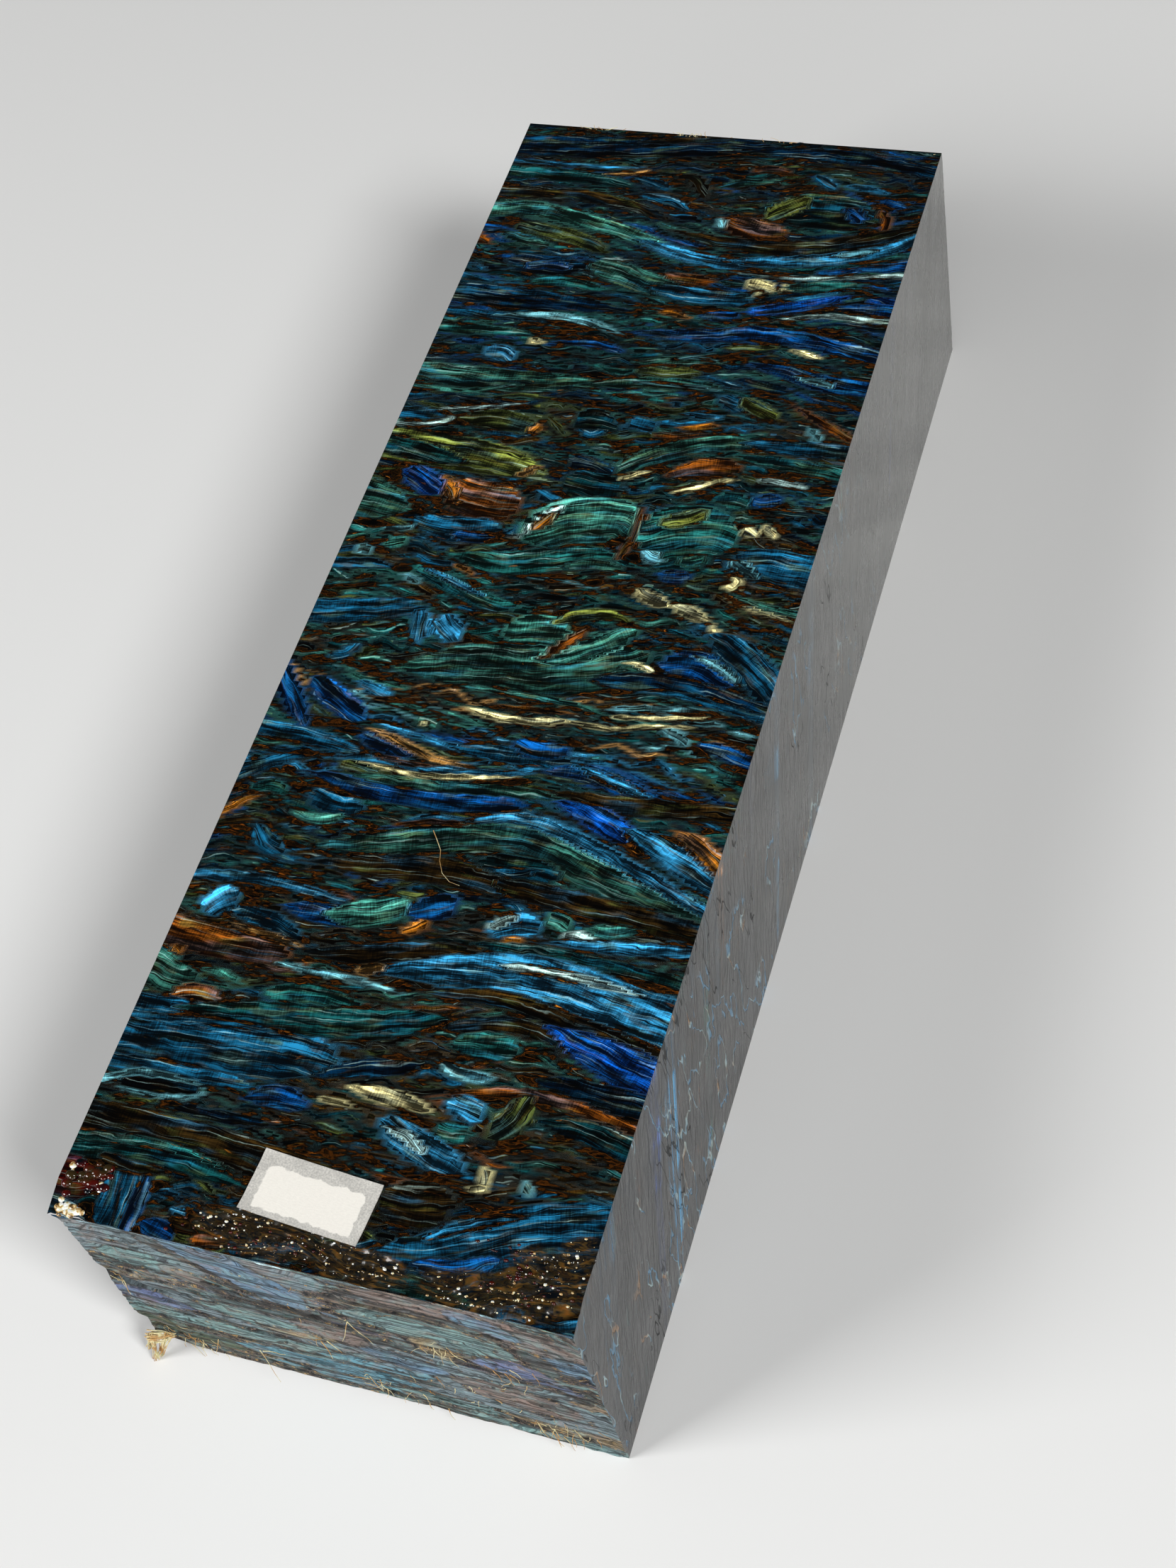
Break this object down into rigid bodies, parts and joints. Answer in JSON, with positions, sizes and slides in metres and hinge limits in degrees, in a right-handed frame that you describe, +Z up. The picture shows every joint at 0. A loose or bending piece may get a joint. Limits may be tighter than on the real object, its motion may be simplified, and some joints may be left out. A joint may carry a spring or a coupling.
{
  "type": "stabilized wood resin blank",
  "caption": "Rectangular block of dyed wood strands bonded in clear dark resin, polished on top and sawn on its ends, with a small blank paper label.",
  "frame": {"origin": "centre of the underside, on the surface that the block lies on", "axes": "+Y along the block's length, away from the labelled end; +Z up; +X across, to the right seen from the labelled end"},
  "size_m": [0.045, 0.1316, 0.0287],
  "materials": {
    "dyed_wood_resin": "polished resin over blue and teal strands on top, satin sides, sawn ends",
    "label_paper": "matte paper with a translucent glue margin",
    "bare_fibre": "dry, matte, undyed fibre"
  },
  "bodies": {
    "root": {"blank": "dyed_wood_resin", "label": "label_paper", "frayed_strand": "bare_fibre"}
  },
  "joints": []
}
